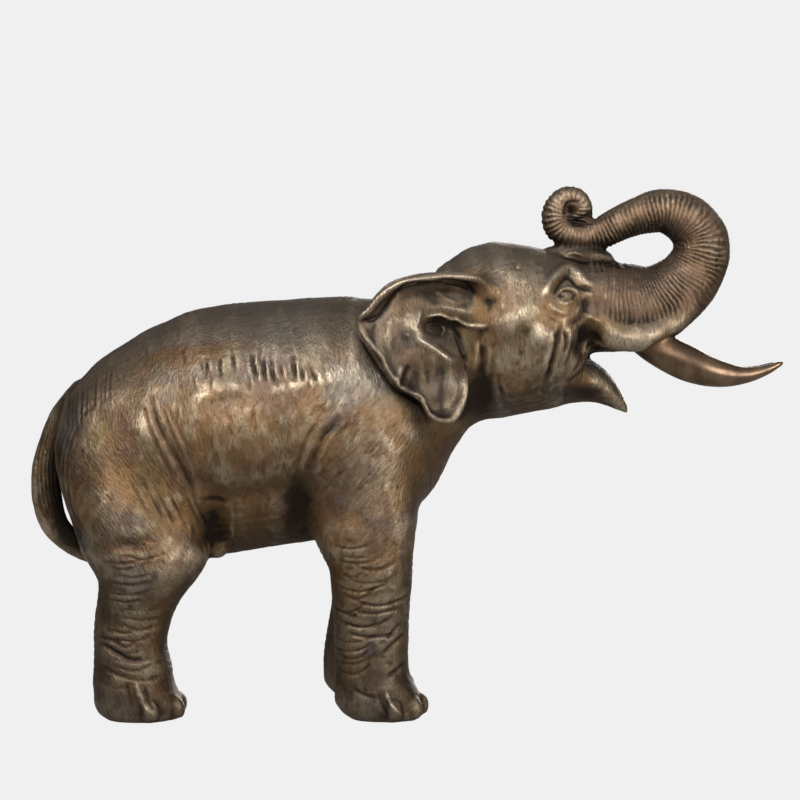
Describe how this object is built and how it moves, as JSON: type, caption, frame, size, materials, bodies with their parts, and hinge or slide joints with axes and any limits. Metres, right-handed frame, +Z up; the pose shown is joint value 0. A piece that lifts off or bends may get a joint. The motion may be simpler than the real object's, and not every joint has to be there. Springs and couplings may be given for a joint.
{
  "type": "elephant sculpture",
  "caption": "Standing elephant cast in bronze, with the trunk raised and curled back over the forehead, open mouth, long tusks and spread ears.",
  "frame": {"origin": "on the ground, under the middle of the casting's length and width", "axes": "+X towards the tusk tips, +Y to the animal's left, +Z up"},
  "size_m": [0.6004, 0.1822, 0.4177],
  "materials": {
    "bronze": "dark brown bronze patina, rubbed to golden tan on the ridges"
  },
  "bodies": {
    "root": {"elephant": "bronze"}
  },
  "joints": []
}
